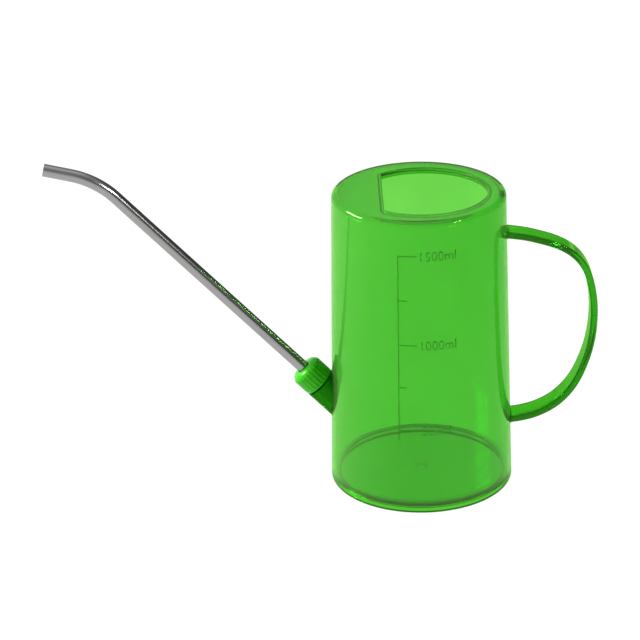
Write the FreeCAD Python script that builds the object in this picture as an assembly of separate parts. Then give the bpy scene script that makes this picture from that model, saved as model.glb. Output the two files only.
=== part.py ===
import FreeCAD, Part
import math
import os
from FreeCAD import Placement, Rotation, Vector

# Long-spout watering can, 1.5 litre.
# Millimetres, +Z up.  Origin on the vessel's own axis, in the plane of its foot.
# The spout leaves towards -X, the handle is on +X, y = 0 is the plane of symmetry.

# ------------------------------------------------------------------ vessel
FOOT_R = 57.5            # outer radius at the foot
TOP_R = 53.5             # outer radius the wall would reach at the top plane
HEIGHT = 192.5           # foot to top plane
WALL = 2.3               # side wall
RIM_T = 2.6              # top flange and spill guard
TOP_FILLET = 3.6         # outside, wall into flange
TOP_FILLET_IN = 3.0      # inside, wall into flange
SEAM_Z = 4.6             # weld seam between shell and base plate

# filling mouth: a circle closed by a straight chord on the spout's side, set a little towards the handle
MOUTH_R = 39.5
MOUTH_CX = 2.7           # the circle's centre
MOUTH_CHORD_X = -22.0
MOUTH_CORNER_R = 2.5
LIP_T = 2.0              # down-turned lip round the mouth
LIP_Z = 188.4            # lower edge of that lip
LIP_FILLET = 0.75

# ------------------------------------------------------------------ base plate
FOOT_RING_IN = 52.5      # inner radius of the ring the can stands on
FOOT_FILLET = 1.2
FLOOR_Z0 = 2.2
FLOOR_Z1 = 5.0
SPIGOT_R_IN = 52.0       # locating ring inside the shell
SPIGOT_R_OUT = 55.0
SPIGOT_Z1 = 7.2
GATE_R = 3.3             # moulding gate recess, underside
GATE_DEPTH = 0.9

# ------------------------------------------------------------------ handle
STRAP_T = 4.3
STRAP_W_TOP = 14.5       # at STRAP_Z_TOP
STRAP_W_BOTTOM = 17.0    # at STRAP_Z_BOTTOM
STRAP_Z_TOP = 164.0
STRAP_Z_BOTTOM = 39.0
STRAP_EDGE_R = 1.2
STRAP_CENTRE = [
    (50.0, 164.6), (57.0, 163.4), (64.0, 162.3), (72.0, 160.3), (80.0, 157.8),
    (88.0, 154.4), (94.6, 150.0), (99.8, 144.4), (103.4, 138.0), (105.6, 131.1),
    (107.0, 124.2), (107.9, 117.0), (108.2, 110.0), (108.0, 103.0), (107.4, 96.2),
    (106.2, 88.9), (104.4, 81.6), (101.9, 74.2), (98.7, 66.6), (94.8, 59.8),
    (90.0, 53.8), (84.4, 48.7), (78.0, 44.7), (71.2, 41.8), (64.4, 40.0),
    (57.0, 38.9), (50.0, 38.2),
]

# ------------------------------------------------------------------ spout axis
AX_P0 = Vector(-56.3, 0.0, 57.4)                 # where the axis meets the wall
AX_ANGLE = 46.56                                 # above horizontal, towards -X
AX = Vector(-math.cos(math.radians(AX_ANGLE)), 0.0, math.sin(math.radians(AX_ANGLE)))
# stations below are distances outward from AX_P0 along this axis

# socket
BOSS_R = 10.4
BOSS_END = 10.3
HOLE_R = 7.4             # hole through the wall, filled by the socket's spigot
BORE_R = 5.5
NECK_R = 7.5             # thread root
NECK_END = 20.3
NECK_CHAMFER = 0.5

# coarse closure thread, right-handed
PITCH = 3.0
NECK_CREST_R = 8.4
NECK_THREAD_S0 = 12.0
NECK_THREAD_TURNS = 7.0 / 3.0
NUT_CREST_R = 7.8
NUT_THREAD_S0 = 13.5
NUT_THREAD_TURNS = 2.0
RIDGE_ROOT_W = 1.4
RIDGE_CREST_W = 0.7

# sealing washer
WASHER_S0 = 20.35
WASHER_S1 = 21.80
WASHER_R_IN = 5.35
WASHER_R_OUT = 7.5

# collar bonded on the tube's tail
COLLAR_S0 = 14.0
COLLAR_R = 5.25
FLANGE_S0 = 21.85
FLANGE_S1 = 23.05
FLANGE_R = 7.5

# coupling nut
NUT_S0 = 11.4
NUT_S1 = 25.4
NUT_R = 10.2
NUT_RIB_R = 10.5         # over the ribs and the rim band
NUT_RIBS = 24
RIB_ROUND_R = 0.8
NUT_BAND = 1.2
NUT_BORE_R = 8.65
NUT_FACE_IN = 23.15
NUT_HOLE_R = 4.25
NUT_SHOULDER_R = 3.7

# spout tube
TUBE_R = 4.0
TUBE_R_IN = 3.5
TUBE_TAIL = 12.6         # station of the tail's end
TUBE_CORNER = 203.0      # station of the bend's corner
TUBE_BEND = 32.96        # degrees, towards horizontal
TUBE_BEND_R = 54.0
TUBE_TIP_STRAIGHT = 17.0


def outer_r(z):
    return FOOT_R - (FOOT_R - TOP_R) * z / HEIGHT


def station(s):
    return AX_P0 + AX * s


def rod(r, s0, s1):
    return Part.makeCylinder(r, s1 - s0, station(s0), AX)


def frustum(inset, z0, z1):
    return Part.makeCone(outer_r(z0) - inset, outer_r(z1) - inset, z1 - z0,
                         Vector(0, 0, z0), Vector(0, 0, 1))


def revolve_z(points):
    wire = Part.makePolygon([Vector(r, 0, z) for r, z in points] +
                            [Vector(points[0][0], 0, points[0][1])])
    return Part.Face(wire).revolve(Vector(0, 0, 0), Vector(0, 0, 1), 360)


def circle_edges(shape, r, z, tol=0.02):
    found = []
    for e in shape.Edges:
        c = e.Curve
        if isinstance(c, Part.Circle) and abs(c.Radius - r) < tol and abs(c.Center.z - z) < tol \
                and abs(c.Center.x) < tol and abs(c.Center.y) < tol:
            found.append(e)
    return found


def d_prism(r, chord_x, corner, z0, z1):
    """Prism on the mouth's outline: a circle cut by a chord, corners rounded."""
    p = Part.makeCylinder(r, z1 - z0, Vector(MOUTH_CX, 0, z0)).common(
        Part.makeBox(3 * r, 3 * r, z1 - z0, Vector(chord_x, -1.5 * r, z0)))
    uprights = [e for e in p.Edges
                if abs(e.Vertexes[0].Point.z - e.Vertexes[-1].Point.z) > 0.5 * (z1 - z0)
                and abs(e.Vertexes[0].Point.x - chord_x) < 1e-3]
    return p.makeFillet(corner, uprights)


def to_axis(shape):
    """Carry a shape made about +Z (z = station) onto the spout axis."""
    s = shape.copy()
    s.Placement = Placement(AX_P0, Rotation(Vector(0, 0, 1), AX)).multiply(shape.Placement)
    return s


def helical_ridge(r_root, r_crest, s0, turns):
    """Trapezoid ridge; its root is sunk 0.3 mm into the wall that carries it."""
    sink = 0.3 if r_root < r_crest else -0.3
    slope = 0.5 * (RIDGE_ROOT_W - RIDGE_CREST_W) / abs(r_crest - r_root)
    h_root = 0.5 * RIDGE_ROOT_W + slope * 0.3
    h_crest = 0.5 * RIDGE_CREST_W
    helix = Part.makeHelix(PITCH, PITCH * turns, r_root)
    profile = Part.makePolygon([
        Vector(r_root - sink, 0, -h_root), Vector(r_crest, 0, -h_crest),
        Vector(r_crest, 0, h_crest), Vector(r_root - sink, 0, h_root),
        Vector(r_root - sink, 0, -h_root)])
    ridge = Part.Wire(helix.Edges).makePipeShell([profile], True, True)
    ridge.translate(Vector(0, 0, s0))
    return Part.makeSolid(ridge) if ridge.ShapeType != "Solid" else ridge


def solid_of(shape, name):
    solids = shape.Solids
    if len(solids) != 1:
        raise RuntimeError("%s: %d solids" % (name, len(solids)))
    s = solids[0]
    if not s.isValid():
        s.fix(1e-4, 1e-4, 1e-3)
    if not s.isValid():
        raise RuntimeError("%s: not valid" % name)
    return s


# ================================================================== vessel shell
def make_vessel_shell():
    zi = HEIGHT - RIM_T
    cup = revolve_z([
        (outer_r(SEAM_Z), SEAM_Z), (outer_r(HEIGHT), HEIGHT), (0, HEIGHT), (0, zi),
        (outer_r(zi) - WALL, zi), (outer_r(SEAM_Z) - WALL, SEAM_Z)])
    cup = cup.makeFillet(TOP_FILLET, circle_edges(cup, outer_r(HEIGHT), HEIGHT))
    cup = cup.makeFillet(TOP_FILLET_IN, circle_edges(cup, outer_r(zi) - WALL, zi))
    lip = d_prism(MOUTH_R + LIP_T, MOUTH_CHORD_X - LIP_T, MOUTH_CORNER_R + LIP_T, LIP_Z, zi + 1.0)
    shell = cup.fuse(lip)
    shell = shell.cut(d_prism(MOUTH_R, MOUTH_CHORD_X, MOUTH_CORNER_R, LIP_Z - 2, HEIGHT + 2))
    shell = shell.removeSplitter()
    edges = []
    for e in shell.Edges:
        zs = [v.Point.z for v in e.Vertexes] or [e.CenterOfMass.z]
        mid = e.valueAt(0.5 * (e.FirstParameter + e.LastParameter))
        rr = math.hypot(mid.x - MOUTH_CX, mid.y)
        flat = max(zs) - min(zs) < 1e-3
        if flat and rr < MOUTH_R + LIP_T + 0.1 and \
                (abs(mid.z - HEIGHT) < 1e-3 or abs(mid.z - LIP_Z) < 1e-3):
            edges.append(e)
    shell = shell.makeFillet(LIP_FILLET, edges)
    shell = shell.cut(rod(HOLE_R, -18, 18))
    return solid_of(shell, "vessel_shell")


# ================================================================== base plate
def make_base_plate():
    seam_r = outer_r(SEAM_Z)
    plate = revolve_z([
        (0, FLOOR_Z0), (FOOT_RING_IN, FLOOR_Z0), (FOOT_RING_IN, 0), (FOOT_R, 0),
        (seam_r, SEAM_Z), (SPIGOT_R_OUT, SEAM_Z), (SPIGOT_R_OUT, SPIGOT_Z1),
        (SPIGOT_R_IN, SPIGOT_Z1), (SPIGOT_R_IN, FLOOR_Z1), (0, FLOOR_Z1)])
    plate = plate.makeFillet(FOOT_FILLET, circle_edges(plate, FOOT_R, 0))
    plate = plate.makeFillet(0.6, circle_edges(plate, FOOT_RING_IN, 0))
    plate = plate.makeFillet(0.8, circle_edges(plate, SPIGOT_R_IN, FLOOR_Z1))
    plate = plate.cut(Part.makeCone(GATE_R, GATE_R - 0.4, GATE_DEPTH, Vector(0, 0, FLOOR_Z0)))
    return solid_of(plate, "base_plate")


# ================================================================== handle
def make_handle():
    pts = [Vector(x, 0, z) for x, z in STRAP_CENTRE]
    spine = Part.BSplineCurve()
    spine.interpolate(pts)
    n = 61
    out_pts, in_pts = [], []
    for i in range(n):
        u = spine.FirstParameter + (spine.LastParameter - spine.FirstParameter) * i / (n - 1)
        p = spine.value(u)
        t = spine.tangent(u)[0]
        nrm = Vector(-t.z, 0, t.x)          # away from the vessel
        out_pts.append(p + nrm * (STRAP_T / 2))
        in_pts.append(p - nrm * (STRAP_T / 2))
    oc, ic = Part.BSplineCurve(), Part.BSplineCurve()
    oc.interpolate(out_pts)
    ic.interpolate(in_pts)
    wire = Part.Wire(Part.__sortEdges__([
        oc.toShape(), ic.toShape(),
        Part.LineSegment(out_pts[0], in_pts[0]).toShape(),
        Part.LineSegment(out_pts[-1], in_pts[-1]).toShape()]))
    side = Part.Face(wire)
    side.translate(Vector(0, -20, 0))
    block = side.extrude(Vector(0, 40, 0))
    # width tapers linearly with height
    slope = (STRAP_W_TOP - STRAP_W_BOTTOM) / (STRAP_Z_TOP - STRAP_Z_BOTTOM)
    z0, z1 = 20.0, 180.0
    w0 = STRAP_W_BOTTOM + slope * (z0 - STRAP_Z_BOTTOM)
    w1 = STRAP_W_BOTTOM + slope * (z1 - STRAP_Z_BOTTOM)
    taper = Part.Face(Part.makePolygon([
        Vector(40, -w0 / 2, z0), Vector(40, w0 / 2, z0), Vector(40, w1 / 2, z1),
        Vector(40, -w1 / 2, z1), Vector(40, -w0 / 2, z0)])).extrude(Vector(80, 0, 0))
    strap = block.common(taper)
    long_edges = [e for e in strap.Edges if e.Length > 60]
    strap = strap.makeFillet(STRAP_EDGE_R, long_edges)
    strap = strap.cut(frustum(0.0, 0.0, HEIGHT))
    return solid_of(strap, "handle")


# ================================================================== spout socket
def make_spout_socket():
    wall_out = frustum(0.0, 0.0, HEIGHT)
    wall_in = frustum(WALL, 0.0, HEIGHT)
    boss = rod(BOSS_R, -30, BOSS_END).cut(wall_out)
    boss = max(boss.Solids, key=lambda s: -s.CenterOfMass.x)
    spigot = rod(HOLE_R, -18, 18).common(wall_out.cut(wall_in))
    spigot = min(spigot.Solids, key=lambda s: s.CenterOfMass.x)
    neck = to_axis(Part.makeCylinder(NECK_R, NECK_END - 8, Vector(0, 0, 8)))
    socket = boss.fuse(neck).fuse(spigot)
    ridge = to_axis(helical_ridge(NECK_R, NECK_CREST_R, NECK_THREAD_S0, NECK_THREAD_TURNS))
    socket = socket.fuse(ridge)
    socket = socket.cut(rod(BORE_R, -30, NECK_END + 2))
    # lead-in chamfer on the neck's end
    cone = Part.makeCone(NECK_R - NECK_CHAMFER, NECK_R + 1.0, NECK_CHAMFER + 1.0,
                         Vector(0, 0, 0), Vector(0, 0, -1))
    ring = Part.makeCylinder(NECK_R + 1.0, NECK_CHAMFER + 1.0, Vector(0, 0, 0), Vector(0, 0, -1)).cut(cone)
    ring.translate(Vector(0, 0, NECK_END))
    socket = socket.cut(to_axis(ring))
    return solid_of(socket, "spout_socket")


# ================================================================== washer, collar
def make_sealing_washer():
    w = rod(WASHER_R_OUT, WASHER_S0, WASHER_S1).cut(rod(WASHER_R_IN, WASHER_S0 - 1, WASHER_S1 + 1))
    return solid_of(w, "sealing_washer")


def make_tube_collar():
    c = rod(COLLAR_R, COLLAR_S0, FLANGE_S1).fuse(rod(FLANGE_R, FLANGE_S0, FLANGE_S1))
    c = c.cut(rod(TUBE_R, COLLAR_S0 - 1, FLANGE_S1 + 1)).removeSplitter()
    return solid_of(c, "tube_collar")


# ================================================================== coupling nut
def make_coupling_nut():
    body = Part.makeCylinder(NUT_R, NUT_S1 - NUT_S0, Vector(0, 0, NUT_S0))
    body = body.makeFillet(NUT_SHOULDER_R, [e for e in body.Edges
                                            if isinstance(e.Curve, Part.Circle)
                                            and abs(e.Curve.Center.z - NUT_S1) < 1e-6])
    rib_c = NUT_RIB_R - RIB_ROUND_R
    rib_end = NUT_S1 - NUT_SHOULDER_R - 0.3
    for i in range(NUT_RIBS):
        a = math.radians(360.0 * i / NUT_RIBS)
        foot = Vector(rib_c * math.cos(a), rib_c * math.sin(a), NUT_S0 + 0.2)
        rib = Part.makeCylinder(RIB_ROUND_R, rib_end - NUT_S0 - 0.2, foot)
        tip = Part.makeSphere(RIB_ROUND_R, Vector(foot.x, foot.y, rib_end))
        body = body.fuse(rib).fuse(tip)
    band = Part.makeCylinder(NUT_RIB_R, NUT_BAND, Vector(0, 0, NUT_S0))
    body = body.fuse(band)
    body = body.cut(Part.makeCylinder(NUT_BORE_R, NUT_FACE_IN - NUT_S0 + 1, Vector(0, 0, NUT_S0 - 1)))
    ridge = helical_ridge(NUT_BORE_R, NUT_CREST_R, NUT_THREAD_S0, NUT_THREAD_TURNS)
    body = body.fuse(ridge)
    body = body.cut(Part.makeCylinder(NUT_HOLE_R, 10, Vector(0, 0, NUT_FACE_IN - 2)))
    return solid_of(to_axis(body.removeSplitter()), "coupling_nut")


# ================================================================== spout tube
def make_spout_tube():
    half = math.radians(TUBE_BEND) / 2
    tangent = TUBE_BEND_R * math.tan(half)
    bend_start = station(TUBE_CORNER - tangent)
    # the bend turns the axis down towards horizontal, in the plane y = 0
    down = Vector(-AX.z, 0, AX.x)           # square to the axis, on the bend centre's side
    if down.z > 0:
        down = down * -1
    centre = bend_start + down * TUBE_BEND_R
    ang = math.radians(AX_ANGLE - TUBE_BEND)
    tip_dir = Vector(-math.cos(ang), 0, math.sin(ang))
    bend_end = station(TUBE_CORNER) + tip_dir * tangent
    tip = bend_end + tip_dir * TUBE_TIP_STRAIGHT
    solids = []
    for r, ext in ((TUBE_R, 0.0), (TUBE_R_IN, 1.0)):
        tail = station(TUBE_TAIL - ext)
        straight = Part.makeCylinder(r, (bend_start - tail).Length, tail, AX)
        disc = Part.Face(Part.Wire(Part.makeCircle(r, bend_start, AX)))
        # turning about +Y or -Y, whichever ends along the tip
        best = None
        for sign in (1, -1):
            arc = disc.revolve(centre, Vector(0, sign, 0), TUBE_BEND)
            d = min((v.Point - bend_end).Length for v in arc.Vertexes)
            if best is None or d < best[0]:
                best = (d, arc)
        mouth = Part.makeCylinder(r, TUBE_TIP_STRAIGHT + ext, bend_end, tip_dir)
        solids.append((straight, best[1], mouth))
    outer = solids[0][0].fuse(solids[0][1]).fuse(solids[0][2])
    inner = solids[1][0].fuse(solids[1][1]).fuse(solids[1][2])
    tube = outer.cut(inner).removeSplitter()
    print("tube: bend centre", centre, "tip", tip, "tip dir", tip_dir)
    return solid_of(tube, "spout_tube")


os.makedirs("parts", exist_ok=True)
MAKERS = [
    ("vessel_shell", make_vessel_shell),
    ("base_plate", make_base_plate),
    ("handle", make_handle),
    ("spout_socket", make_spout_socket),
    ("sealing_washer", make_sealing_washer),
    ("tube_collar", make_tube_collar),
    ("spout_tube", make_spout_tube),
    ("coupling_nut", make_coupling_nut),
]
for name, make in MAKERS:
    shape = make()
    bb = shape.BoundBox
    print("%-15s vol %9.1f mm3  x %.2f..%.2f  y %.2f..%.2f  z %.2f..%.2f  faces %d" % (
        name, shape.Volume, bb.XMin, bb.XMax, bb.YMin, bb.YMax, bb.ZMin, bb.ZMax, len(shape.Faces)))
    shape.exportStep("parts/%s.step" % name)
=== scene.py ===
import math

import bpy
import numpy as np
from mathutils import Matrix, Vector


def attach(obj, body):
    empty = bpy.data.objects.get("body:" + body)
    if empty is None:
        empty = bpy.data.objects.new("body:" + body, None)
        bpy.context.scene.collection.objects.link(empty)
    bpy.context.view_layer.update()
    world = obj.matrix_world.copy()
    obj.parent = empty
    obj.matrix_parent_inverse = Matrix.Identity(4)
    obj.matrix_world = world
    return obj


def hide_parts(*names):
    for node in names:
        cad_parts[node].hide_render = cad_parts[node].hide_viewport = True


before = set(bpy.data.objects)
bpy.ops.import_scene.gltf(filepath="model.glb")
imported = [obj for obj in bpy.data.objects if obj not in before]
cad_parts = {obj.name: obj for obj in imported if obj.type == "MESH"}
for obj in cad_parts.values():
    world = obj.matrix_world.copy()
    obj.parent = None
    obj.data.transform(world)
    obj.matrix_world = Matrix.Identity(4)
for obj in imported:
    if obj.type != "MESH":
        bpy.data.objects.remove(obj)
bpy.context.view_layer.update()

# Everything below is worked out in millimetres and written to the meshes in metres.
MM = 0.001
GAP = 0.03               # air left between pieces that the CAD lays face to face

# ---------------------------------------------------------------- dimensions
FOOT_R, TOP_R, HEIGHT = 57.5, 53.5, 192.5
WALL, RIM_T = 2.3, 2.6
TOP_FILLET, TOP_FILLET_IN = 3.6, 3.0
SEAM_Z = 4.6
MOUTH_R, MOUTH_CX, CHORD_X, MOUTH_CORNER = 39.5, 2.7, 22.0, 2.5
LIP_T, LIP_Z = 2.0, 188.4

P0 = np.array([-56.3, 0.0, 57.4])
AX_ANGLE = math.radians(46.56)
AX = np.array([-math.cos(AX_ANGLE), 0.0, math.sin(AX_ANGLE)])
AX_U = np.array([math.sin(AX_ANGLE), 0.0, math.cos(AX_ANGLE)])      # square to the axis, up and towards the wall
AX_W = np.cross(AX, AX_U)


def wall_r(z):
    return FOOT_R - (FOOT_R - TOP_R) * z / HEIGHT


# ---------------------------------------------------------------- profiles
def arc_pts(p, a, b, r, n):
    """Points of the fillet of radius r at corner p between the runs from a and to b."""
    d1, d2 = a - p, b - p
    d1, d2 = d1 / np.linalg.norm(d1), d2 / np.linalg.norm(d2)
    half = math.acos(max(-1.0, min(1.0, float(d1 @ d2)))) / 2
    t = r / math.tan(half)
    bis = (d1 + d2) / np.linalg.norm(d1 + d2)
    c = p + bis * (r / math.sin(half))
    s, e = p + d1 * t - c, p + d2 * t - c
    ang = math.acos(max(-1.0, min(1.0, float(s @ e) / (r * r))))
    out = []
    for i in range(n + 1):
        f = i / n
        out.append(c + (math.sin((1 - f) * ang) * s + math.sin(f * ang) * e) / math.sin(ang))
    return out, t


def path(points, step=6.0, support=0.3, closed=False, seg_deg=11.0):
    """A polyline in 2D with its corners rounded. points: (q, z, fillet radius).
    Straight runs get a support point near each rounded corner, so that smooth shading stays flat between."""
    pts = [np.array(p[:2], float) for p in points]
    rad = [p[2] if len(p) > 2 else 0.0 for p in points]
    n = len(pts)
    pieces = []
    for i in range(n):
        if rad[i] > 0 and (closed or 0 < i < n - 1):
            a, b = pts[(i - 1) % n], pts[(i + 1) % n]
            d1, d2 = a - pts[i], b - pts[i]
            turn = math.degrees(math.pi - math.acos(max(-1, min(1, float(
                d1 @ d2 / (np.linalg.norm(d1) * np.linalg.norm(d2)))))))
            k = max(3, int(round(turn / seg_deg)))
            arc, _ = arc_pts(pts[i], a, b, rad[i], k)
            pieces.append(arc)
        else:
            pieces.append([pts[i]])
    out = []
    m = n if closed else n - 1
    for i in range(n):
        out += pieces[i]
        if i >= m:
            break
        p, q = pieces[i][-1], pieces[(i + 1) % n][0]
        length = float(np.linalg.norm(q - p))
        if length < 1e-6:
            continue
        u = (q - p) / length
        inner = []
        s = min(support, length / 3)
        if len(pieces[i]) > 1 and length > 0.15:
            inner.append(s)
        if len(pieces[(i + 1) % n]) > 1 and length > 0.15:
            inner.append(length - s)
        k = int(length // step)
        inner += [length * j / (k + 1) for j in range(1, k + 1)]
        inner = sorted(inner)
        last = 0.0
        for x in inner:
            if x - last > 0.04 and length - x > 0.04:
                out.append(p + u * x)
                last = x
    clean = [out[0]]
    for p in out[1:]:
        if np.linalg.norm(p - clean[-1]) > 1e-4:
            clean.append(p)
    if closed and np.linalg.norm(clean[0] - clean[-1]) < 1e-4:
        clean.pop()
    return clean


# ---------------------------------------------------------------- meshes
def mesh_object(name, verts, faces, sharp=32.0, attribute=None):
    me = bpy.data.meshes.new(name)
    me.from_pydata((np.asarray(verts, float) * MM).tolist(), [], faces)
    me.validate()
    me.update()
    ob = bpy.data.objects.new(name, me)
    bpy.context.scene.collection.objects.link(ob)
    import bmesh
    bm = bmesh.new()
    bm.from_mesh(me)
    bmesh.ops.recalc_face_normals(bm, faces=bm.faces)
    bm.to_mesh(me)
    bm.free()
    me.shade_smooth()
    if sharp:
        me.set_sharp_from_angle(angle=math.radians(sharp))
    if attribute is not None:
        at = me.attributes.new("flow", "FLOAT_VECTOR", "POINT")
        at.data.foreach_set("vector", np.asarray(attribute, np.float32).ravel())
    return ob


def rings_mesh(name, rings, loop=True, pole0=None, pole1=None, sharp=32.0, attribute=None):
    """rings: equal-length arrays of points, each a closed loop. loop joins the last ring to the first.
    A pole is a single point that closes an end."""
    rings = [np.asarray(r, float) for r in rings]
    m, n = len(rings), len(rings[0])
    verts = np.concatenate(rings)
    faces = []
    idx = np.arange(n)
    nxt = (idx + 1) % n
    for i in range(m if loop else m - 1):
        a, b = i * n, ((i + 1) % m) * n
        faces += np.stack([a + idx, a + nxt, b + nxt, b + idx], 1).tolist()
    verts = verts.tolist()
    if pole0 is not None:
        verts.append(list(pole0))
        k = len(verts) - 1
        faces += [[k, int(nxt[j]), int(j)] for j in range(n)]
    if pole1 is not None:
        verts.append(list(pole1))
        k = len(verts) - 1
        faces += [[k, (m - 1) * n + int(j), (m - 1) * n + int(nxt[j])] for j in range(n)]
    return mesh_object(name, verts, faces, sharp, attribute)


def circle_ring(r, z, ang):
    return np.stack([r * np.cos(ang), r * np.sin(ang), np.full(len(ang), z)], 1)


def d_rho(ang, off):
    """Distance from the vessel's axis to the mouth's outline, grown outward by off, at each angle."""
    a = np.abs((ang + math.pi) % (2 * math.pi) - math.pi)
    rc = MOUTH_CORNER + off
    ra = MOUTH_R + off
    cx = -CHORD_X + MOUTH_CORNER
    cr = MOUTH_R - MOUTH_CORNER
    cy = math.sqrt(cr * cr - (cx - MOUTH_CX) ** 2)
    a_c = math.atan2(cy * ra / cr, MOUTH_CX + (cx - MOUTH_CX) * ra / cr)
    a_t = math.atan2(cy, -(CHORD_X + off))
    ca, sa = np.cos(a), np.sin(a)
    dot = ca * MOUTH_CX
    arc = dot + np.sqrt(dot * dot - MOUTH_CX ** 2 + ra * ra)
    dot = ca * cx + sa * cy
    corner = dot + np.sqrt(np.maximum(dot * dot - cx * cx - cy * cy + rc * rc, 0))
    chord = (CHORD_X + off) / np.maximum(-ca, 1e-6)
    return np.where(a < a_c, arc, np.where(a > a_t, chord, corner))


def d_ring(off, z, ang):
    rho = d_rho(ang, off)
    return np.stack([rho * np.cos(ang), rho * np.sin(ang), np.full(len(ang), z)], 1)


def axis_pts(r, s, ang):
    """Points round the spout's axis. Angle 0 is AX_U."""
    r, s = np.broadcast_to(r, ang.shape), np.broadcast_to(s, ang.shape)
    return P0 + np.outer(s, AX) + (r * np.cos(ang))[:, None] * AX_U + (r * np.sin(ang))[:, None] * AX_W


def wall_station(r, ang, inset):
    """Station along the spout's axis where the line at radius r and that angle meets the wall's cone, inset inward."""
    s = np.zeros_like(ang)
    for _ in range(40):
        p = axis_pts(r, s, ang)
        f = np.hypot(p[:, 0], p[:, 1]) - (wall_r(p[:, 2]) - inset)
        q = axis_pts(r, s + 1e-3, ang)
        g = np.hypot(q[:, 0], q[:, 1]) - (wall_r(q[:, 2]) - inset)
        s = s - f / ((g - f) / 1e-3)
    return s


def boolean(ob, cutter, operation):
    m = ob.modifiers.new("cut", "BOOLEAN")
    m.operation, m.solver, m.object = operation, "EXACT", cutter
    bpy.context.view_layer.update()
    dg = bpy.context.evaluated_depsgraph_get()
    me = bpy.data.meshes.new_from_object(ob.evaluated_get(dg), depsgraph=dg)
    ob.modifiers.clear()
    old, ob.data = ob.data, me
    me.name = ob.name
    bpy.data.meshes.remove(old)
    bpy.data.objects.remove(cutter)
    me.shade_smooth()
    me.set_sharp_from_angle(angle=math.radians(32))
    return ob


# ================================================================ vessel shell
ang = np.linspace(0, 2 * math.pi, 300, endpoint=False)
extra = []
for c in (math.radians(127.0), math.radians(233.0)):
    extra += list(c + np.radians(np.arange(-4.8, 4.9, 0.28)))
extra += list(math.pi + np.radians(np.arange(-12, 12.1, 0.75)))
ang = np.array(sorted(set(np.round(np.concatenate([ang, extra]), 5))))
keep = [ang[0]]
for x in ang[1:]:
    if x - keep[-1] > math.radians(0.2):
        keep.append(x)
ANG = np.array(keep)

zb = SEAM_Z + GAP * 0.5
zi = HEIGHT - RIM_T
outer = path([(wall_r(zb) - 1.15, zb), (wall_r(zb), zb, 0.3), (wall_r(HEIGHT), HEIGHT, TOP_FILLET),
              (49.0, HEIGHT)], step=3.2, seg_deg=6)
lip = path([(1.2, HEIGHT), (0.0, HEIGHT, 0.75), (0.0, LIP_Z, 0.75), (LIP_T, LIP_Z, 0.75),
            (LIP_T, zi, 0.6), (3.2, zi)], step=3, seg_deg=11, support=0.2)
inner = path([(47.0, zi), (wall_r(zi) - WALL, zi, TOP_FILLET_IN), (wall_r(zb) - WALL, zb, 0.25),
              (wall_r(zb) - 1.15, zb)], step=3.2, seg_deg=7)
rings = [circle_ring(q, z, ANG) for q, z in outer]
a, b = circle_ring(49.0, HEIGHT, ANG), d_ring(1.2, HEIGHT, ANG)
rings += [a * (1 - t) + b * t for t in (0.08, 0.25, 0.5, 0.75, 0.92)]
rings += [d_ring(q, z, ANG) for q, z in lip]
a, b = d_ring(3.2, zi, ANG), circle_ring(47.0, zi, ANG)
rings += [a * (1 - t) + b * t for t in (0.1, 0.35, 0.65, 0.9)]
rings += [circle_ring(q, z, ANG) for q, z in inner[:-1]]
shell = rings_mesh("vessel_shell_body", rings)

hole_ang = np.linspace(0, 2 * math.pi, 96, endpoint=False)
cut = rings_mesh("hole_cutter", [axis_pts(7.4, -10.0, hole_ang), axis_pts(7.4, 13.0, hole_ang)], loop=False,
                 pole0=P0 + AX * -10, pole1=P0 + AX * 13, sharp=None)
boolean(shell, cut, "DIFFERENCE")

# ================================================================ base plate
FR = np.linspace(0, 2 * math.pi, 288, endpoint=False)
seam_top = SEAM_Z - GAP * 0.5
prof = path([(0.6, 3.1), (3.1, 3.1, 0.25), (3.5, 2.2, 0.3), (52.5, 2.2, 0.8), (52.5, 0.0, 0.6),
             (FOOT_R, 0.0, 1.2), (wall_r(seam_top), seam_top, 0.35), (55.02, seam_top, 0.15),
             (54.97, 7.2, 0.4), (52.0, 7.2, 0.5), (52.0, 5.0, 0.8), (0.6, 5.0)], step=6, seg_deg=10, support=0.25)
rings = [circle_ring(q, z, FR) for q, z in prof]
base = rings_mesh("base_plate_body", rings, loop=False, pole0=(0, 0, 3.1), pole1=(0, 0, 5.0))

# ================================================================ handle
STRAP_T = 4.3
CENTRE = np.array([
    (50.0, 164.6), (57.0, 163.4), (64.0, 162.3), (72.0, 160.3), (80.0, 157.8),
    (88.0, 154.4), (94.6, 150.0), (99.8, 144.4), (103.4, 138.0), (105.6, 131.1),
    (107.0, 124.2), (107.9, 117.0), (108.2, 110.0), (108.0, 103.0), (107.4, 96.2),
    (106.2, 88.9), (104.4, 81.6), (101.9, 74.2), (98.7, 66.6), (94.8, 59.8),
    (90.0, 53.8), (84.4, 48.7), (78.0, 44.7), (71.2, 41.8), (64.4, 40.0),
    (57.0, 38.9), (50.0, 38.2)])


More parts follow.
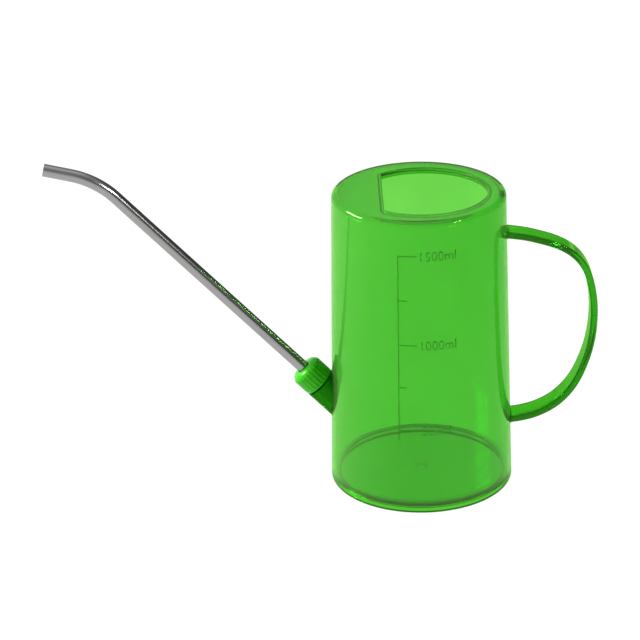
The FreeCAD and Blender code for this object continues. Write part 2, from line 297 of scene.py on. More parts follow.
def cubic_through(points, samples):
    """Natural cubic spline through 2D points, by chord length. Returns points and unit tangents."""
    d = np.concatenate([[0], np.cumsum(np.linalg.norm(np.diff(points, axis=0), axis=1))])
    n = len(d)
    h = np.diff(d)
    A = np.zeros((n, n))
    rhs = np.zeros((n, 2))
    A[0, 0] = A[-1, -1] = 1
    for i in range(1, n - 1):
        A[i, i - 1], A[i, i], A[i, i + 1] = h[i - 1], 2 * (h[i - 1] + h[i]), h[i]
        rhs[i] = 6 * ((points[i + 1] - points[i]) / h[i] - (points[i] - points[i - 1]) / h[i - 1])
    M = np.linalg.solve(A, rhs)
    t = np.linspace(0, d[-1], samples)
    k = np.clip(np.searchsorted(d, t, side="right") - 1, 0, n - 2)
    a, b, hh = (d[k + 1] - t)[:, None], (t - d[k])[:, None], h[k][:, None]
    p = (M[k] * a ** 3 + M[k + 1] * b ** 3) / (6 * hh) + (points[k] / hh - M[k] * hh / 6) * a \
        + (points[k + 1] / hh - M[k + 1] * hh / 6) * b
    v = (-3 * M[k] * a ** 2 + 3 * M[k + 1] * b ** 2) / (6 * hh) - (points[k] / hh - M[k] * hh / 6) \
        + (points[k + 1] / hh - M[k + 1] * hh / 6)
    return p, v / np.linalg.norm(v, axis=1)[:, None]


cp, ct = cubic_through(CENTRE, 420)
# stations: from just outside the wall at the top to just outside it at the bottom
ok = [i for i in range(len(cp)) if cp[i, 0] > wall_r(cp[i, 1]) + 1.6]
cp, ct = cp[ok[0]:ok[-1] + 1:2], ct[ok[0]:ok[-1] + 1:2]


def strap_section(w, t, r, k=7):
    """Rounded rectangle, w across y and t thick, as (y, n) points. The broad faces are slightly crowned."""
    w2, t2 = w / 2, t / 2
    out = []
    for cy, cn, a0 in ((w2 - r, t2 - r, 0), (-(w2 - r), t2 - r, 90), (-(w2 - r), -(t2 - r), 180), (w2 - r, -(t2 - r), 270)):
        for j in range(k + 1):
            a = math.radians(a0 + 90 * j / k)
            out.append((cy + r * math.cos(a), cn + r * math.sin(a)))
    pts = []
    n = len(out)
    for i in range(n):
        p, q = np.array(out[i]), np.array(out[(i + 1) % n])
        pts.append(p)
        length = np.linalg.norm(q - p)
        if length > 1.5:
            m = max(2, int(length // 1.6))
            fr = [0.25 / length] + [j / m for j in range(1, m)] + [1 - 0.25 / length]
            pts += [p + (q - p) * f for f in fr]
    return np.array(pts)


def width_at(z):
    return 17.0 + (14.5 - 17.0) * (z - 39.0) / (164.0 - 39.0)


def section_ring(p, t, grow=0.0):
    w = width_at(p[1]) + 2 * grow
    sec = strap_section(w, STRAP_T + 2 * grow, 1.2 + 0.8 * grow)
    n = np.array([-t[1], t[0]])            # away from the vessel, in the xz plane
    x = p[0] + sec[:, 1] * n[0]
    z = p[1] + sec[:, 1] * n[1]
    return np.stack([x, sec[:, 0], z], 1)


def to_wall(ring, direction, gap):
    """Slides each point along direction until it is gap outside the wall."""
    pts = ring.copy()
    for _ in range(30):
        f = np.hypot(pts[:, 0], pts[:, 1]) - (wall_r(pts[:, 2]) + gap)
        step = 1e-3
        q = pts + direction * step
        g = np.hypot(q[:, 0], q[:, 1]) - (wall_r(q[:, 2]) + gap)
        slope = (g - f) / step
        pts = pts - (f / slope)[:, None] * direction
    return pts


rings = []
ROOT = 0.9                                # moulded fillet where the strap meets the wall
top_dir = np.array([-ct[0][0], 0, -ct[0][1]])
bot_dir = np.array([ct[-1][0], 0, ct[-1][1]])
for p, t, d, first in ((cp[0], ct[0], top_dir, True), (cp[-1], ct[-1], bot_dir, False)):
    group = []
    core = section_ring(p, t)
    centre = core.mean(0)
    for f in (0.12, 0.35, 0.6, 0.82):
        g = to_wall(centre + (section_ring(p, t, ROOT) - centre) * f, d, GAP)
        group.append(g)
    group.append(to_wall(section_ring(p, t, ROOT), d, GAP))
    for k in range(1, 7):
        a = math.radians(90 * k / 6)
        grow = ROOT * (1 - math.sin(a))
        lift = ROOT * (1 - math.cos(a))
        group.append(to_wall(section_ring(p, t, grow), d, GAP + lift))
    if first:
        top_group, top_pole = group, to_wall(np.array([centre]), d, GAP)[0]
    else:
        bot_group, bot_pole = group[::-1], to_wall(np.array([centre]), d, GAP)[0]
rings = top_group + [section_ring(p, t) for p, t in zip(cp[1:-1], ct[1:-1])] + bot_group
handle = rings_mesh("handle_strap", rings, loop=False, pole0=top_pole, pole1=bot_pole)

# ================================================================ spout socket
NECK_R, NECK_END, BORE_R, BOSS_R, BOSS_END = 7.5, 20.3, 5.5, 10.4, 10.3
PITCH = 3.0
SA = np.linspace(0, 2 * math.pi, 120, endpoint=False)


def ridge(ang, s, s0, turns, height, root_w=1.4, crest_w=0.7):
    """Height of the helical ridge at each angle, for one station. The ridge fades in and out at its ends."""
    out = np.zeros_like(ang)
    for k in range(-1, int(turns) + 2):
        # AX_U, AX_W, AX is right-handed, so a right-hand thread climbs with the angle
        turn = ang / (2 * math.pi) + k
        c = s0 + PITCH * turn
        d = np.abs(s - c)
        h = np.clip((root_w / 2 - d) / ((root_w - crest_w) / 2), 0, 1)
        h = h * h * (3 - 2 * h)
        fade = np.clip(np.minimum(turn, turns - turn) / 0.06, 0, 1)
        out = np.maximum(out, height * h * fade)
    return out


s_in = lambda r: wall_station(r, SA, WALL)
s_out = lambda r: wall_station(r, SA, -GAP)
rings = []
for r in (BORE_R, BORE_R + 0.25):
    rings.append(axis_pts(r, s_in(r), SA))
rings += [axis_pts(r, s_in(r), SA) for r in (6.4, 7.12, 7.37)]
s_a, s_b = s_in(7.37), s_out(7.37)
for f in (0.1, 0.5, 0.9):
    rings.append(axis_pts(7.37, s_a * (1 - f) + s_b * f, SA))
rings.append(axis_pts(7.37, s_b, SA))
for r in (7.6, 8.4, 9.4, 10.4, 10.9):
    rings.append(axis_pts(r, wall_station(r, SA, -GAP), SA))
# a small moulded fillet up the boss, then the boss's side
foot = wall_station(10.9, SA, -GAP)
top = np.maximum(BOSS_END, wall_station(BOSS_R, SA, -GAP) + 0.12)
side0 = wall_station(BOSS_R, SA, -GAP)
for k in range(1, 6):
    a = math.radians(90 * k / 5)
    r = BOSS_R + 0.5 * (1 - math.sin(a))
    s = wall_station(r, SA, -GAP - 0.5 * (1 - math.cos(a)))
    rings.append(axis_pts(r, np.minimum(s, top - 0.02), SA))
last = np.minimum(wall_station(BOSS_R, SA, -GAP - 0.5), top - 0.02)
for f in (0.05, 0.3, 0.6, 0.88):
    rings.append(axis_pts(BOSS_R, last + (top - 0.35 - last).clip(0) * f, SA))
rr = np.minimum(0.35, (top - last) * 0.8)
for k in range(0, 6):
    a = math.radians(90 * k / 5)
    rings.append(axis_pts(BOSS_R - rr * (1 - math.cos(a)), top - rr * (1 - math.sin(a)), SA))
rings.append(axis_pts(BOSS_R - 0.7, top, SA))
rings.append(axis_pts(NECK_R + 0.75, np.maximum(BOSS_END, top - 0.05), SA))
for k in range(0, 5):
    a = math.radians(90 * k / 4)
    rings.append(axis_pts(NECK_R + 0.4 * (1 - math.sin(a)), BOSS_END + 0.4 * (1 - math.cos(a)), SA))
for s in np.arange(10.85, 19.75, 0.12):
    rings.append(axis_pts(NECK_R + ridge(SA, s, 12.0, 7 / 3, 0.9), s, SA))
tail = path([(NECK_R, 19.75), (NECK_R, NECK_END - 0.5), (NECK_R - 0.5, NECK_END, 0.12), (BORE_R, NECK_END, 0.3),
             (BORE_R, 4.0)], step=3, seg_deg=15, support=0.2)
rings += [axis_pts(r, s, SA) for r, s in tail[1:]]
low = s_in(BORE_R)
for f in (0.25, 0.5, 0.75, 0.95):
    rings.append(axis_pts(BORE_R, 4.0 + (low - 4.0) * f, SA))
socket = rings_mesh("spout_socket_body", rings)

# ================================================================ washer and collar
washer = rings_mesh("sealing_washer_ring", [axis_pts(r, s, SA) for r, s in path(
    [(5.35, 20.35, 0.25), (7.5, 20.35, 0.25), (7.5, 21.80, 0.25), (5.35, 21.80, 0.25)], closed=True, seg_deg=18, support=0.2)])
collar = rings_mesh("tube_collar_sleeve", [axis_pts(r, s, SA) for r, s in path(
    [(4.02, 14.0), (5.25, 14.0, 0.3), (5.25, 21.85, 0.1), (7.5, 21.85, 0.2), (7.5, 23.05, 0.3), (4.02, 23.05)],
    closed=True, seg_deg=18, support=0.2, step=2)])

# ================================================================ coupling nut
RIBS = 24
NA = np.linspace(0, 2 * math.pi, RIBS * 14, endpoint=False)
NUT_R, RIB_R, SHOULDER = 10.2, 10.5, 3.7
S0, S1 = 11.4, 25.4
rib = np.maximum(0.0, np.cos(NA * RIBS)) ** 0.8
rib = np.clip(0.5 + 0.75 * np.cos(NA * RIBS), 0, 1)
rib = rib * rib * (3 - 2 * rib)
nut_out = path([(9.9, S0), (RIB_R, S0, 0.35), (RIB_R, S0 + 1.25)], step=1, seg_deg=15, support=0.15)
rings = [axis_pts(r, s, NA) for r, s in nut_out]
for s in (S0 + 1.32, S0 + 1.42, S0 + 1.52):
    f = (s - S0 - 1.25) / 0.35
    rings.append(axis_pts(RIB_R - 0.34 * f * (1 - rib), s, NA))
for s in np.linspace(S0 + 1.6, S1 - SHOULDER - 0.5, 8):
    rings.append(axis_pts(RIB_R - 0.34 * (1 - rib), s, NA))
for k in range(0, 15):
    a = math.radians(90 * k / 14)
    r0 = NUT_R - SHOULDER * (1 - math.cos(a))
    s = S1 - SHOULDER * (1 - math.sin(a))
    fade = max(0.0, 1 - k / 7.0)
    fade = fade * fade * (3 - 2 * fade)
    rings.append(axis_pts(r0 + fade * (0.30 - 0.34 * (1 - rib)), s, NA))
face = path([(NUT_R - SHOULDER - 0.3, S1), (4.25, S1, 0.35), (4.25, 23.15, 0.15), (8.65, 23.15, 0.5),
             (8.65, 21.2)], step=2, seg_deg=15, support=0.2)
rings += [axis_pts(r, s, NA) for r, s in face]
for s in np.arange(21.0, 12.55, -0.14):
    rings.append(axis_pts(8.65 - ridge(NA, s, 13.5, 2.0, 0.85), s, NA))
rim = path([(8.65, 12.5), (8.65, S0, 0.4), (9.9, S0)], step=1, seg_deg=15, support=0.15)
rings += [axis_pts(r, s, NA) for r, s in rim[:-1]]
nut = rings_mesh("coupling_nut_body", rings, sharp=40)

# ================================================================ spout tube
TUBE_R, TUBE_IN = 4.0, 3.5
CORNER, BEND, BEND_R, TIP = 203.0, math.radians(32.96), 54.0, 17.0
tan = BEND_R * math.tan(BEND / 2)
down = -np.array([AX[2], 0, -AX[0]])
if down[2] > 0:
    down = -down
bend0 = P0 + AX * (CORNER - tan)
centre = bend0 + down * BEND_R
stations = []                             # (point, direction, length so far)
tail0 = 12.6
first = np.concatenate([[tail0, tail0 + 0.25, tail0 + 1.0], np.arange(tail0 + 4, CORNER - tan - 1.0, 4.0), [CORNER - tan - 0.5]])
for s in first:
    stations.append((P0 + AX * s, AX, s))
for k in range(0, 41):
    a = BEND * k / 40
    d = AX * math.cos(a) + down * math.sin(a)
    o = AX * math.sin(a) - down * math.cos(a)
    stations.append((centre + o * BEND_R, d, CORNER - tan + BEND_R * a))
end_p, end_d, end_s = stations[-1]
for x in list(np.arange(0.5, TIP - 1.0, 3.0)) + [TIP - 1.0, TIP - 0.25, TIP]:
    stations.append((end_p + end_d * x, end_d, end_s + x))
TA = np.linspace(0, 2 * math.pi, 72, endpoint=False)
side = np.array([0.0, 1.0, 0.0])


def tube_ring(st, r):
    p, d, s = st
    u = np.cross(side, d)
    return p + (r * np.cos(TA))[:, None] * u + (r * np.sin(TA))[:, None] * side


def tube_flow(st, r):
    return np.stack([r * np.cos(TA), r * np.sin(TA), np.full(len(TA), st[2])], 1)


def shifted(st, x):
    return (st[0] + st[1] * x, st[1], st[2] + x)


order = [(st, TUBE_R) for st in stations[1:-1]]
tip = stations[-1]
for a in np.radians([0, 30, 60, 90]):
    order.append((shifted(tip, -0.12 * (1 - math.sin(a))), TUBE_R - 0.12 * (1 - math.cos(a))))
for a in np.radians([90, 60, 30, 0]):
    order.append((shifted(tip, -0.12 * (1 - math.sin(a))), TUBE_IN + 0.12 * (1 - math.cos(a))))
order += [(st, TUBE_IN) for st in stations[1:-1][::-1]]
tail_st = stations[0]
for a in np.radians([0, 45, 90]):
    order.append((shifted(tail_st, 0.12 * (1 - math.sin(a))), TUBE_IN + 0.12 * (1 - math.cos(a))))
for a in np.radians([90, 45, 0]):
    order.append((shifted(tail_st, 0.12 * (1 - math.sin(a))), TUBE_R - 0.12 * (1 - math.cos(a))))
tube = rings_mesh("spout_tube_steel", [tube_ring(s, r) for s, r in order], sharp=40,
                  attribute=np.concatenate([tube_flow(s, r) for s, r in order]))

# ================================================================ moulded scale
MARK_H = 0.28


def on_wall(u_deg, z, lift):
    """A point at that angle from the front towards +X, lifted off the wall."""
    a = np.radians(u_deg)
    r = wall_r(z) + lift
    return np.stack([r * np.sin(a), -r * np.cos(a), z * np.ones_like(a)], -1)


def bar(name, u0, u1, z0, z1, steps_u, steps_z):
    """A raised bar on the wall, narrower at its crest."""
    us = np.linspace(u0, u1, steps_u + 1)
    zs = np.linspace(z0, z1, steps_z + 1)
    verts, faces = [], []

    def grid(lift, inset):
        du = math.degrees(inset / 55.0)
        uu = np.clip(us, u0 + du, u1 - du)
        zz = np.clip(zs, z0 + inset, z1 - inset)
        ids = []
        for z in zz:
            row = []
            for u in uu:
                verts.append(on_wall(np.array(u), np.array(z), lift))
                row.append(len(verts) - 1)
            ids.append(row)
        return ids
    lo, hi = grid(GAP, 0.0), grid(GAP + MARK_H, 0.12)
    for g, flip in ((lo, True), (hi, False)):
        for i in range(steps_z):
            for j in range(steps_u):
                q = [g[i][j], g[i][j + 1], g[i + 1][j + 1], g[i + 1][j]]
                faces.append(q[::-1] if flip else q)
    edge_lo = lo[0] + [r[-1] for r in lo[1:]] + lo[-1][-2::-1] + [r[0] for r in lo[-2:0:-1]]
    edge_hi = hi[0] + [r[-1] for r in hi[1:]] + hi[-1][-2::-1] + [r[0] for r in hi[-2:0:-1]]
    n = len(edge_lo)
    for i in range(n):
        j = (i + 1) % n
        faces.append([edge_lo[i], edge_lo[j], edge_hi[j], edge_hi[i]])
    return mesh_object(name, verts, faces, sharp=20)


marks = []
U0 = -16.3
marks.append(bar("scale_line", U0 - 0.34, U0 + 0.34, 49.5, 171.2, 1, 24))
for i, (z, u1) in enumerate(((170.9, -4.0), (142.2, -10.6), (113.2, -4.4), (85.2, -11.0), (56.4, -4.5))):
    marks.append(bar("scale_tick_%d" % (i + 1), U0 + 0.5, u1, z - 0.34, z + 0.34, 12, 1))


def text_piece(name, words, u_left, z_base, height, width):
    cu = bpy.data.curves.new(name, "FONT")
    cu.body = words
    cu.size = 1.0
    cu.offset = -0.012
    cu.space_character = 1.03
    cu.resolution_u = 6
    ob = bpy.data.objects.new(name, cu)
    bpy.context.scene.collection.objects.link(ob)
    bpy.context.view_layer.update()
    dg = bpy.context.evaluated_depsgraph_get()
    me = bpy.data.meshes.new_from_object(ob.evaluated_get(dg), depsgraph=dg)
    bpy.data.objects.remove(ob)
    import bmesh
    bm = bmesh.new()
    bm.from_mesh(me)
    bpy.data.meshes.remove(me)
    bmesh.ops.remove_doubles(bm, verts=bm.verts, dist=1e-5)
    co = np.array([v.co for v in bm.verts])
    lo, hi = co.min(0), co.max(0)
    digit_h = 0.729 if hi[1] < 0.5 else hi[1]
    # thicken: the flat letters become closed solids
    geom = bmesh.ops.extrude_face_region(bm, geom=list(bm.faces))
    top = [v for v in geom["geom"] if isinstance(v, bmesh.types.BMVert)]
    for v in top:
        v.co.z += 1.0
    bmesh.ops.recalc_face_normals(bm, faces=bm.faces)
    long_edges = [e for e in bm.edges if abs(e.verts[0].co.z - e.verts[1].co.z) < 0.5
                  and (e.verts[0].co - e.verts[1].co).length > 0.15]
    for v in bm.verts:
        x = (v.co.x - lo[0]) / (hi[0] - lo[0]) * width
        z = z_base + v.co.y / digit_h * height
        u = u_left + math.degrees(x / wall_r(z))
        p = on_wall(np.array(u), np.array(z), GAP + v.co.z * MARK_H)
        v.co = Vector((p * MM).tolist())
    me = bpy.data.meshes.new(name)
    bm.to_mesh(me)
    bm.free()
    piece = bpy.data.objects.new(name, me)
    bpy.context.scene.collection.objects.link(piece)
    return piece


for i, (words, zc) in enumerate((("1500ml", 170.7), ("1000ml", 113.0), ("500ml", 56.2))):
    width = 21.5 * (len(words) - 0.4) / 5.6
    marks.append(text_piece("scale_text_%d" % (i + 1), words, -1.7, zc - 2.9, 5.8, width))


# ================================================================ materials
def new_material(name):
    m = bpy.data.materials.new(name)
    m.use_nodes = True
    nt = m.node_tree
    for n in list(nt.nodes):
        nt.nodes.remove(n)
    out = nt.nodes.new("ShaderNodeOutputMaterial")
    bsdf = nt.nodes.new("ShaderNodeBsdfPrincipled")
    nt.links.new(bsdf.outputs["BSDF"], out.inputs["Surface"])
    return m, nt, bsdf, out


def noise(nt, vector, scale, detail=3.0, rough=0.5):
    n = nt.nodes.new("ShaderNodeTexNoise")
    n.inputs["Scale"].default_value = scale
    n.inputs["Detail"].default_value = detail
    n.inputs["Roughness"].default_value = rough
    nt.links.new(vector, n.inputs["Vector"])
    return n.outputs["Fac"]


def remap(nt, value, lo, hi, out_lo, out_hi):
    n = nt.nodes.new("ShaderNodeMapRange")
    n.inputs["From Min"].default_value = lo
    n.inputs["From Max"].default_value = hi
    n.inputs["To Min"].default_value = out_lo
    n.inputs["To Max"].default_value = out_hi
    n.clamp = True
    nt.links.new(value, n.inputs["Value"])
    return n.outputs["Result"]


def stretched(nt, vector, scale):
    n = nt.nodes.new("ShaderNodeMapping")
    n.inputs["Scale"].default_value = scale
    nt.links.new(vector, n.inputs["Vector"])
    return n.outputs["Vector"]


def mix_colour(nt, fac, a, b):
    n = nt.nodes.new("ShaderNodeMix")
    n.data_type = "RGBA"
    n.inputs["A"].default_value = (*a, 1)
    n.inputs["B"].default_value = (*b, 1)
    nt.links.new(fac, n.inputs["Factor"])
    return n.outputs["Result"]


def bump(nt, height, strength, distance, normal=None):
    n = nt.nodes.new("ShaderNodeBump")
    n.inputs["Strength"].default_value = strength
    n.inputs["Distance"].default_value = distance
    nt.links.new(height, n.inputs["Height"])
    if normal is not None:
        nt.links.new(normal, n.inputs["Normal"])
    return n.outputs["Normal"]


def dyed_clear(name, tint_a, tint_b, absorb, density, rough=(0.003, 0.02), wave=0.03, ior=1.42, haze=0.05,
               cloud_tint=(0.52, 1.0, 0.27)):
    """See-through dyed plastic: the dye colours what the surface passes and mirrors, and its depth does the rest.
    A trace of haze, faint flow waviness and fine rub marks."""
    m = bpy.data.materials.new(name)
    m.use_nodes = True
    nt = m.node_tree
    for n in list(nt.nodes):
        nt.nodes.remove(n)
    out = nt.nodes.new("ShaderNodeOutputMaterial")
    glass = nt.nodes.new("ShaderNodeBsdfGlass")
    cloud = nt.nodes.new("ShaderNodeBsdfDiffuse")
    cloud.inputs["Color"].default_value = (*cloud_tint, 1)
    blend = nt.nodes.new("ShaderNodeMixShader")
    blend.inputs["Fac"].default_value = haze
    nt.links.new(glass.outputs["BSDF"], blend.inputs[1])
    nt.links.new(cloud.outputs["BSDF"], blend.inputs[2])
    nt.links.new(blend.outputs["Shader"], out.inputs["Surface"])
    tc = nt.nodes.new("ShaderNodeTexCoord").outputs["Object"]
    broad = noise(nt, tc, 22.0, 2.0)
    nt.links.new(mix_colour(nt, remap(nt, broad, 0.3, 0.7, 0, 1), tint_a, tint_b), glass.inputs["Color"])
    rub = noise(nt, stretched(nt, tc, (240.0, 240.0, 60.0)), 3.0, 6.0, 0.7)
    nt.links.new(remap(nt, rub, 0.45, 0.8, rough[0], rough[1]), glass.inputs["Roughness"])
    flow = noise(nt, stretched(nt, tc, (1.0, 1.0, 0.45)), 38.0, 2.0, 0.4)
    nt.links.new(bump(nt, flow, wave, 0.001), glass.inputs["Normal"])
    glass.inputs["IOR"].default_value = ior
    vol = nt.nodes.new("ShaderNodeVolumeAbsorption")
    vol.inputs["Color"].default_value = (*absorb, 1)
    vol.inputs["Density"].default_value = density
    nt.links.new(vol.outputs["Volume"], out.inputs["Volume"])
    return m


def milky(name, tint_a, tint_b, absorb, density, rough, clear, sheen):
    """The nut's and collar's plastic: half see-through, half dye that scatters."""
    m, nt, bsdf, out = new_material(name)
    tc = nt.nodes.new("ShaderNodeTexCoord").outputs["Object"]
    broad = noise(nt, tc, 60.0, 2.0)
    nt.links.new(mix_colour(nt, remap(nt, broad, 0.3, 0.7, 0, 1), tint_a, tint_b), bsdf.inputs["Base Color"])
    grain = noise(nt, tc, 700.0, 4.0, 0.6)
    nt.links.new(remap(nt, grain, 0.3, 0.7, rough[0], rough[1]), bsdf.inputs["Roughness"])
    nt.links.new(bump(nt, grain, 0.05, 0.0003), bsdf.inputs["Normal"])
    bsdf.inputs["IOR"].default_value = 1.46
    bsdf.inputs["Specular Tint"].default_value = (*sheen, 1)
    bsdf.inputs["Transmission Weight"].default_value = clear
    vol = nt.nodes.new("ShaderNodeVolumeAbsorption")
    vol.inputs["Color"].default_value = (*absorb, 1)
    vol.inputs["Density"].default_value = density
    nt.links.new(vol.outputs["Volume"], out.inputs["Volume"])
    return m


GREEN_ABSORB = (0.38, 0.842, 0.229)
vessel_mat = dyed_clear("vessel_green_clear", (0.45, 0.85, 0.325), (0.47, 0.865, 0.345), GREEN_ABSORB, 150.0,
                        ior=1.5, haze=0.055)
# Painted shade: the base plate, handle and socket are the vessel's own green plastic, and their depth already darkens
# them through the absorption. Their darker tints, denser absorption and darker haze on top of that are painted shade.
base_mat = dyed_clear("base_green_shaded", (0.34, 0.785, 0.20), (0.36, 0.80, 0.22), GREEN_ABSORB, 160.0,
                      rough=(0.002, 0.015), ior=1.5, haze=0.03)
handle_mat = dyed_clear("handle_green_shaded", (0.27, 0.74, 0.13), (0.30, 0.76, 0.15), GREEN_ABSORB, 240.0,
                        rough=(0.03, 0.10), ior=1.5, haze=0.07, cloud_tint=(0.22, 0.95, 0.08))
socket_mat = dyed_clear("socket_green_shaded", (0.15, 0.66, 0.04), (0.18, 0.69, 0.06), GREEN_ABSORB, 420.0,
                        rough=(0.03, 0.10), ior=1.5, haze=0.07, cloud_tint=(0.08, 0.8, 0.02))
nut_mat = milky("nut_green_milky", (0.035, 0.54, 0.008), (0.05, 0.60, 0.012), GREEN_ABSORB, 300.0,
                (0.16, 0.30), 0.35, (0.4, 1.0, 0.2))
collar_mat = milky("collar_green_milky", (0.04, 0.48, 0.01), (0.06, 0.54, 0.015), GREEN_ABSORB, 600.0,
                   (0.15, 0.3), 0.4, (0.4, 1.0, 0.2))
# Painted shade: the scale marks are moulded in the vessel's own plastic, and their strong dark haze stands in for the
# dark outlines that their raised edges show.
mark_painted_dark_mat = dyed_clear("scale_green_painted_dark", (0.70, 0.92, 0.58), (0.72, 0.93, 0.60), GREEN_ABSORB, 500.0,
                      rough=(0.02, 0.06), haze=0.36, cloud_tint=(0.05, 0.34, 0.02))

# drawn stainless tube: fine lines along its length
steel_mat, nt, bsdf, _ = new_material("tube_stainless_drawn")
at = nt.nodes.new("ShaderNodeAttribute")
at.attribute_name = "flow"
lines = noise(nt, stretched(nt, at.outputs["Vector"], (1.0, 1.0, 0.012)), 4.5, 6.0, 0.75)
lines_fine = noise(nt, stretched(nt, at.outputs["Vector"], (1.0, 1.0, 0.02)), 16.0, 3.0, 0.6)
patch = noise(nt, stretched(nt, at.outputs["Vector"], (1.0, 1.0, 0.2)), 0.35, 3.0, 0.5)
col = mix_colour(nt, remap(nt, lines, 0.3, 0.7, 0, 1), (0.27, 0.268, 0.265), (0.40, 0.398, 0.395))
nt.links.new(col, bsdf.inputs["Base Color"])
nt.links.new(remap(nt, lines_fine, 0.25, 0.75, 0.145, 0.185), bsdf.inputs["Roughness"])
nt.links.new(bump(nt, patch, 0.004, 0.001), bsdf.inputs["Normal"])
bsdf.inputs["Metallic"].default_value = 1.0

silicone_mat, nt, bsdf, _ = new_material("seal_silicone")
tc = nt.nodes.new("ShaderNodeTexCoord").outputs["Object"]
grain = noise(nt, tc, 900.0, 3.0)
nt.links.new(mix_colour(nt, grain, (0.70, 0.71, 0.66), (0.80, 0.80, 0.76)), bsdf.inputs["Base Color"])
nt.links.new(remap(nt, grain, 0.3, 0.7, 0.42, 0.6), bsdf.inputs["Roughness"])
nt.links.new(bump(nt, grain, 0.15, 0.0002), bsdf.inputs["Normal"])
bsdf.inputs["IOR"].default_value = 1.41


def give(ob, mat):
    ob.data.materials.clear()
    ob.data.materials.append(mat)


for ob, mat, body, node, slot in (
        (shell, vessel_mat, "vessel", "vessel_shell", "vessel_plastic"),
        (base, base_mat, "vessel", "base_plate", "vessel_plastic"),
        (handle, handle_mat, "vessel", "handle", "handle_plastic"),
        (socket, socket_mat, "vessel", "spout_socket", "socket_plastic"),
        (washer, silicone_mat, "seal", "sealing_washer", "seal_silicone"),
        (collar, collar_mat, "spout", "tube_collar", "collar_plastic"),
        (tube, steel_mat, "spout", "spout_tube", "tube_steel"),
        (nut, nut_mat, "nut", "coupling_nut", "nut_plastic")):
    give(ob, mat)
    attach(ob, body)
    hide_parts(node)
for ob in marks:
    give(ob, mark_painted_dark_mat)
    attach(ob, "vessel")

# ================================================================ floor
me = bpy.data.meshes.new("floor")
me.from_pydata([(-12, -12, -0.0001), (12, -12, -0.0001), (12, 12, -0.0001), (-12, 12, -0.0001)], [], [(0, 1, 2, 3)])
floor = bpy.data.objects.new("floor", me)
bpy.context.scene.collection.objects.link(floor)
floor_mat, nt, bsdf, out = new_material("floor_white")
tc = nt.nodes.new("ShaderNodeTexCoord").outputs["Object"]
sep = nt.nodes.new("ShaderNodeSeparateXYZ")
nt.links.new(tc, sep.inputs["Vector"])
tone = noise(nt, tc, 1.2, 2.0)
nt.links.new(mix_colour(nt, tone, (0.055, 0.055, 0.055), (0.065, 0.065, 0.065)), bsdf.inputs["Base Color"])
bsdf.inputs["Roughness"].default_value = 0.9
bsdf.inputs["Specular IOR Level"].default_value = 0.0
# distance to the right of a line that leans away from the camera with depth
lean = nt.nodes.new("ShaderNodeMath")
lean.operation = "MULTIPLY_ADD"
lean.inputs[1].default_value = -0.135
nt.links.new(sep.outputs["Y"], lean.inputs[0])
nt.links.new(sep.outputs["X"], lean.inputs[2])
# Painted light: the floor glows by itself rather than being lit. It is fully bright on the left and painted darker to
# the right of that line.
floor_glow_painted = remap(nt, lean.outputs["Value"], 0.165, 0.55, 0.99, 0.50)
bsdf.inputs["Emission Color"].default_value = (1, 1, 1, 1)
nt.links.new(floor_glow_painted, bsdf.inputs["Emission Strength"])
give(floor, floor_mat)

# ================================================================ light
world = bpy.data.worlds.new("studio")
bpy.context.scene.world = world
world.use_nodes = True
nt = world.node_tree
for n in list(nt.nodes):
    nt.nodes.remove(n)
out = nt.nodes.new("ShaderNodeOutputWorld")
bg = nt.nodes.new("ShaderNodeBackground")
nt.links.new(bg.outputs["Background"], out.inputs["Surface"])
tc = nt.nodes.new("ShaderNodeTexCoord")
sep = nt.nodes.new("ShaderNodeSeparateXYZ")
nt.links.new(tc.outputs["Generated"], sep.inputs["Vector"])


def world_ramp(stops):
    ramp = nt.nodes.new("ShaderNodeValToRGB")
    nt.links.new(remap(nt, sep.outputs["Z"], -1.0, 1.0, 0.0, 1.0), ramp.inputs["Fac"])
    els = ramp.color_ramp.elements
    els[0].position, els[0].color = 0.0, (1, 1, 1, 1)
    els[1].position, els[1].color = 1.0, (0.6, 0.6, 0.6, 1)
    for pos, v in stops:
        e = els.new(pos)
        e.color = (v, v, v, 1)
    return ramp.outputs["Color"]


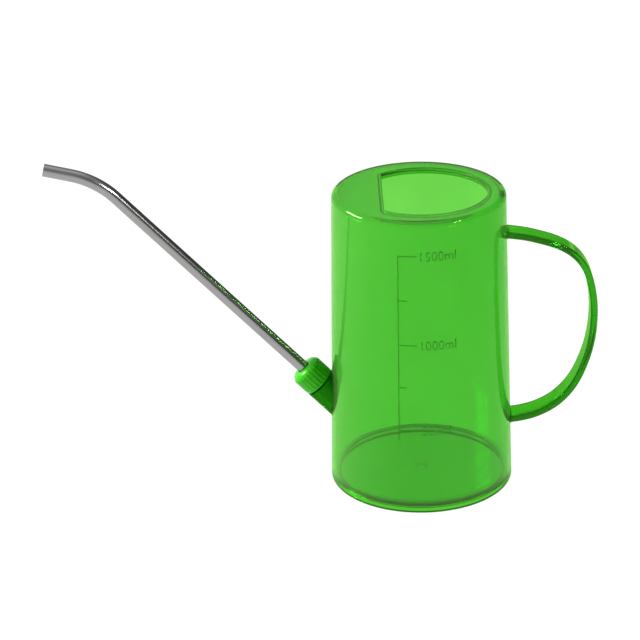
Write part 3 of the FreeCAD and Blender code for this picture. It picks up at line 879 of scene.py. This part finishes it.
dark_side = world_ramp(((0.50, 1.6), (0.515, 1.2), (0.54, 0.10), (0.72, 0.08), (0.84, 0.2), (0.93, 0.5)))
bright_side = world_ramp(((0.50, 0.95), (0.55, 0.80), (0.66, 0.55), (0.80, 0.40), (0.93, 0.5)))
both = nt.nodes.new("ShaderNodeMix")
both.data_type = "RGBA"
nt.links.new(remap(nt, sep.outputs["X"], 0.05, 0.45, 0.0, 1.0), both.inputs["Factor"])
nt.links.new(bright_side, both.inputs["A"])
nt.links.new(dark_side, both.inputs["B"])
nt.links.new(both.outputs["Result"], bg.inputs["Color"])
bg.inputs["Strength"].default_value = 1.0


def area(name, azimuth, elevation, distance, width, height, power, target=(-0.03, 0, 0.10)):
    """A soft lamp in that direction from the object: azimuth from +X towards +Y."""
    la = bpy.data.lights.new(name, "AREA")
    la.shape, la.size, la.size_y = "RECTANGLE", width, height
    la.energy = power
    ob = bpy.data.objects.new(name, la)
    bpy.context.scene.collection.objects.link(ob)
    a, e = math.radians(azimuth), math.radians(elevation)
    d = Vector((math.cos(a) * math.cos(e), math.sin(a) * math.cos(e), math.sin(e)))
    ob.location = Vector(target) + d * distance
    ob.rotation_mode = "QUATERNION"
    ob.rotation_quaternion = (-d).to_track_quat("-Z", "Y")
    return ob


area("key_left", 171, 28, 1.6, 0.80, 0.30, 44.0)
area("fill_right", -41, 38, 1.6, 0.46, 0.16, 13.0)
area("top_soft", 90, 84, 2.2, 1.6, 1.6, 2.5)

# ================================================================ camera
cam = bpy.data.cameras.new("camera")
cam.sensor_width = 36.0
cam.lens = 140.6
cam.clip_start, cam.clip_end = 0.05, 60.0
cam_ob = bpy.data.objects.new("camera", cam)
bpy.context.scene.collection.objects.link(cam_ob)
elev, roll = math.radians(23.91), math.radians(-1.61)
back = Vector((0, -math.cos(elev), math.sin(elev)))
up = Vector((0, math.sin(elev), math.cos(elev)))
right = Vector((1, 0, 0))
cx = right * math.cos(roll) + up * math.sin(roll)
cy = -right * math.sin(roll) + up * math.cos(roll)
from mathutils import Matrix
cam_ob.matrix_world = Matrix((
    (cx.x, cy.x, back.x, 0), (cx.y, cy.y, back.y, 0), (cx.z, cy.z, back.z, 0), (0, 0, 0, 1)))
cam_ob.location = Vector((-0.0624, 0, 0.1078)) + back * 1.5605
bpy.context.scene.camera = cam_ob
bpy.context.scene.view_settings.view_transform = "Standard"
